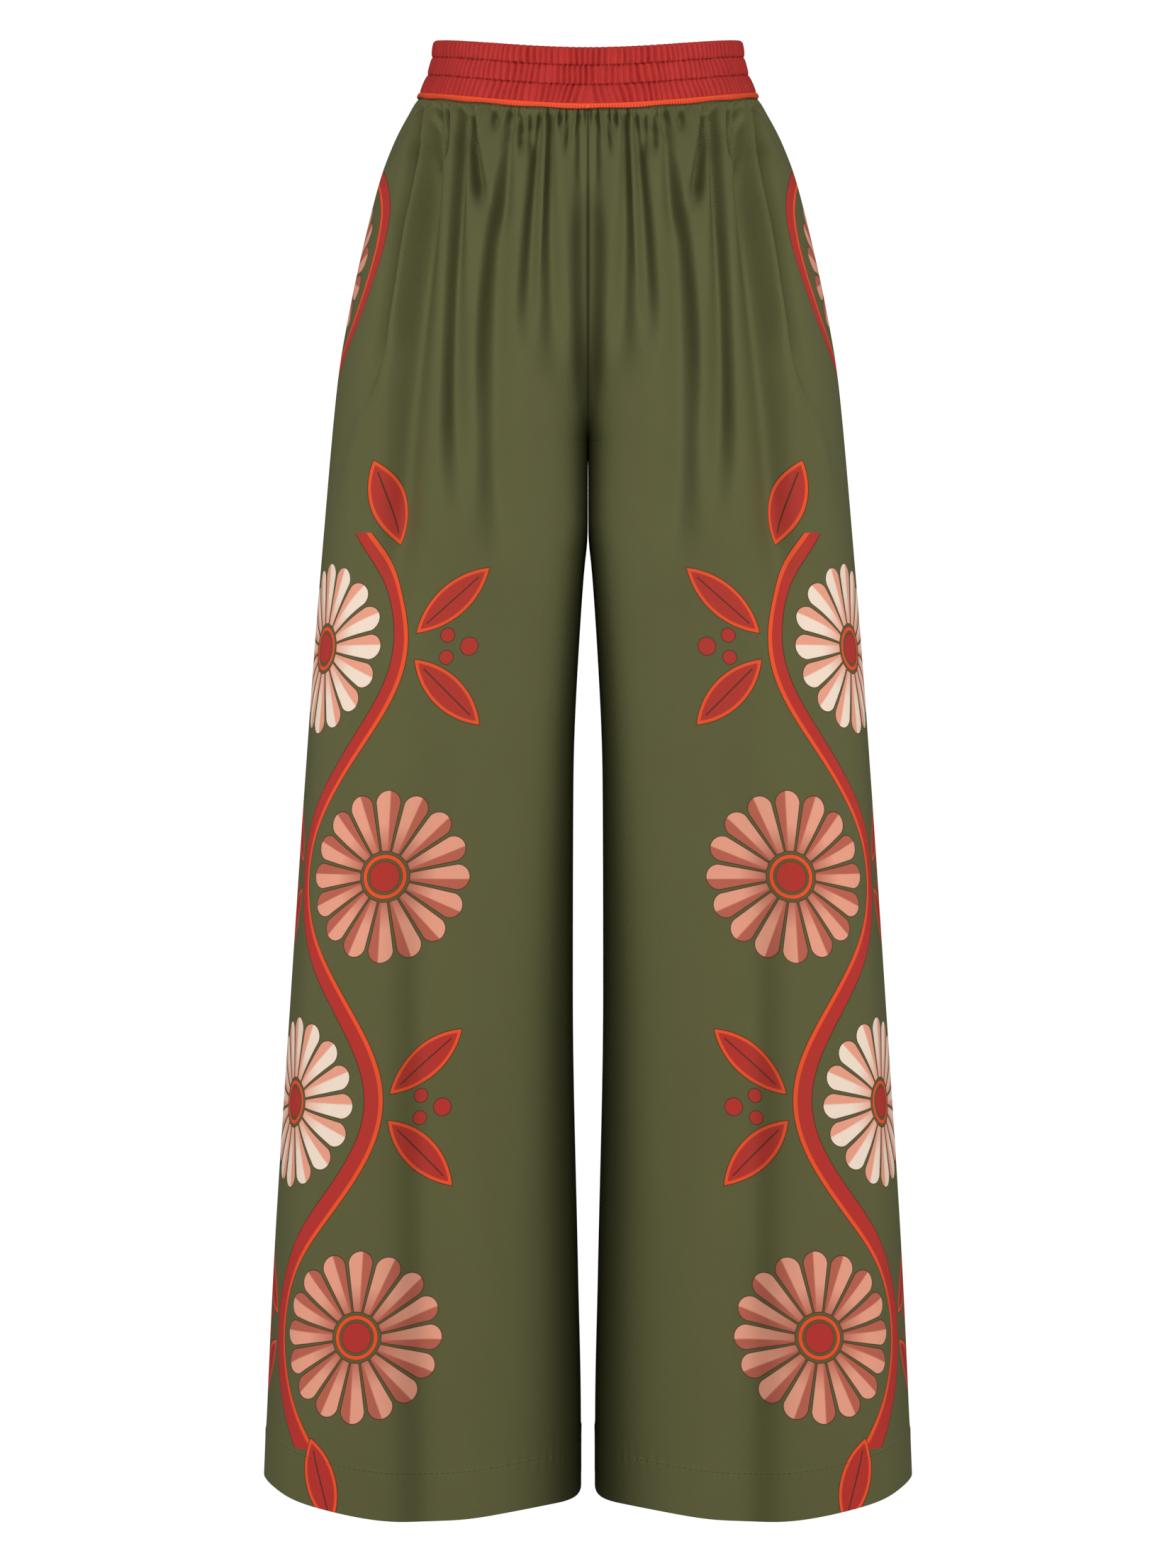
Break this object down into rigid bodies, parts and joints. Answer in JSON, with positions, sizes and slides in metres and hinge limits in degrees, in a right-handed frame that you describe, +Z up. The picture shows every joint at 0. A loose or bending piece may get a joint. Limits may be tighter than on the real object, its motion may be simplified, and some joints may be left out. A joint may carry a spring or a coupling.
{
  "type": "palazzo pants",
  "caption": "Wide-leg palazzo pants in their worn form, hollow, with a gathered elastic waistband and a narrow binding under it.",
  "frame": {"origin": "middle of the waist, halfway up the waistband at the side seams", "axes": "+Z up along the body, +X to the wearer's left side as seen from the front, the front looks towards -Y"},
  "size_m": [0.4834, 0.2644, 1.0905],
  "materials": {
    "leg_cloth": "fine silk twill with a soft sheen, olive green, printed along the outer legs",
    "waistband_cloth": "matt brick red cloth, gathered on elastic",
    "binding": "bright orange close stitching"
  },
  "bodies": {
    "root": {"front_leg_left": "leg_cloth", "front_leg_right": "leg_cloth", "back_leg_left": "leg_cloth", "back_leg_right": "leg_cloth", "waistband_front": "waistband_cloth", "waistband_back": "waistband_cloth", "binding_front": "binding", "binding_back": "binding"}
  },
  "joints": []
}
